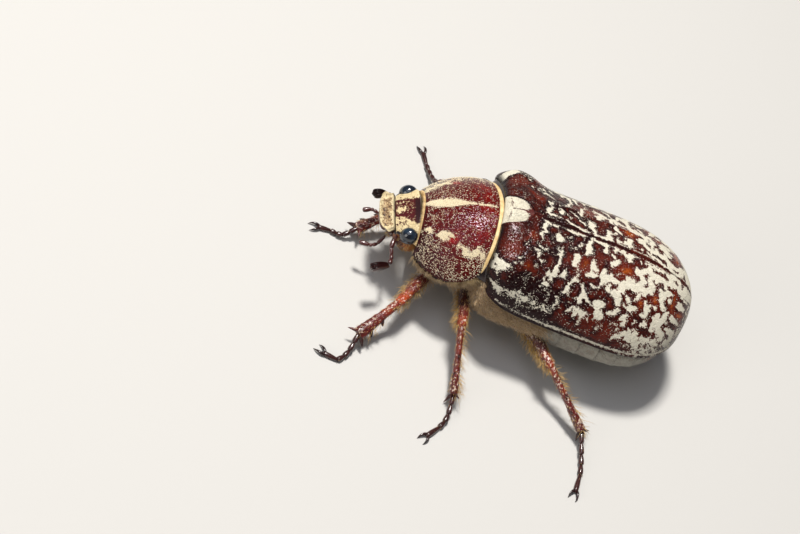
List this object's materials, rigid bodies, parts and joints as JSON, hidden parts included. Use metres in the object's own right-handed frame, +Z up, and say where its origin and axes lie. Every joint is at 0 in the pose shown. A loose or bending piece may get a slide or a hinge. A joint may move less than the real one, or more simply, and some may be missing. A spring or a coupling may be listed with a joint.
{
  "type": "pine chafer beetle figure",
  "caption": "Still life-size pine chafer beetle standing on its feet, with mottled wing covers, turned head, small clubbed feelers and hooked claws.",
  "frame": {"origin": "on the ground plane under the middle of the bounding box", "axes": "+X towards the tail along the wing covers' middle line, +Y to the beetle's right, +Z up from the ground"},
  "size_m": [0.0406, 0.039, 0.0141],
  "materials": {
    "shell": "glossy red-brown shell under cream scale patches",
    "shield": "glossy deep red-maroon shell",
    "scales": "cream scales",
    "pile": "tan matted pile",
    "belly": "grey-white fine pile",
    "leg": "glossy red-brown",
    "foot": "glossy dark brown",
    "eye": "glossy blue-black",
    "feeler": "dark red-brown"
  },
  "bodies": {
    "root": {"abdomen": "belly", "antenna_club_left": "feeler", "antenna_club_right": "feeler", "antenna_stalk_left": "feeler", "antenna_stalk_right": "feeler", "clypeus": "scales", "coxa_fore_left": "pile", "coxa_fore_right": "pile", "coxa_hind_left": "pile", "coxa_hind_right": "pile", "coxa_mid_left": "pile", "coxa_mid_right": "pile", "elytron_left": "shell", "elytron_right": "shell", "eye_left": "eye", "eye_right": "eye", "femur_fore_left": "leg", "femur_fore_right": "leg", "femur_hind_left": "leg", "femur_hind_right": "leg", "femur_mid_left": "leg", "femur_mid_right": "leg", "head": "shield", "metathorax": "pile", "mouthparts": "feeler", "palp_left": "feeler", "palp_right": "feeler", "pronotum": "shield", "prosternum": "pile", "pygidium": "belly", "scutellum": "scales", "tarsus_fore_left": "foot", "tarsus_fore_right": "foot", "tarsus_hind_left": "foot", "tarsus_hind_right": "foot", "tarsus_mid_left": "foot", "tarsus_mid_right": "foot", "tibia_fore_left": "leg", "tibia_fore_right": "leg", "tibia_hind_left": "leg", "tibia_hind_right": "leg", "tibia_mid_left": "leg", "tibia_mid_right": "leg"}
  },
  "joints": []
}
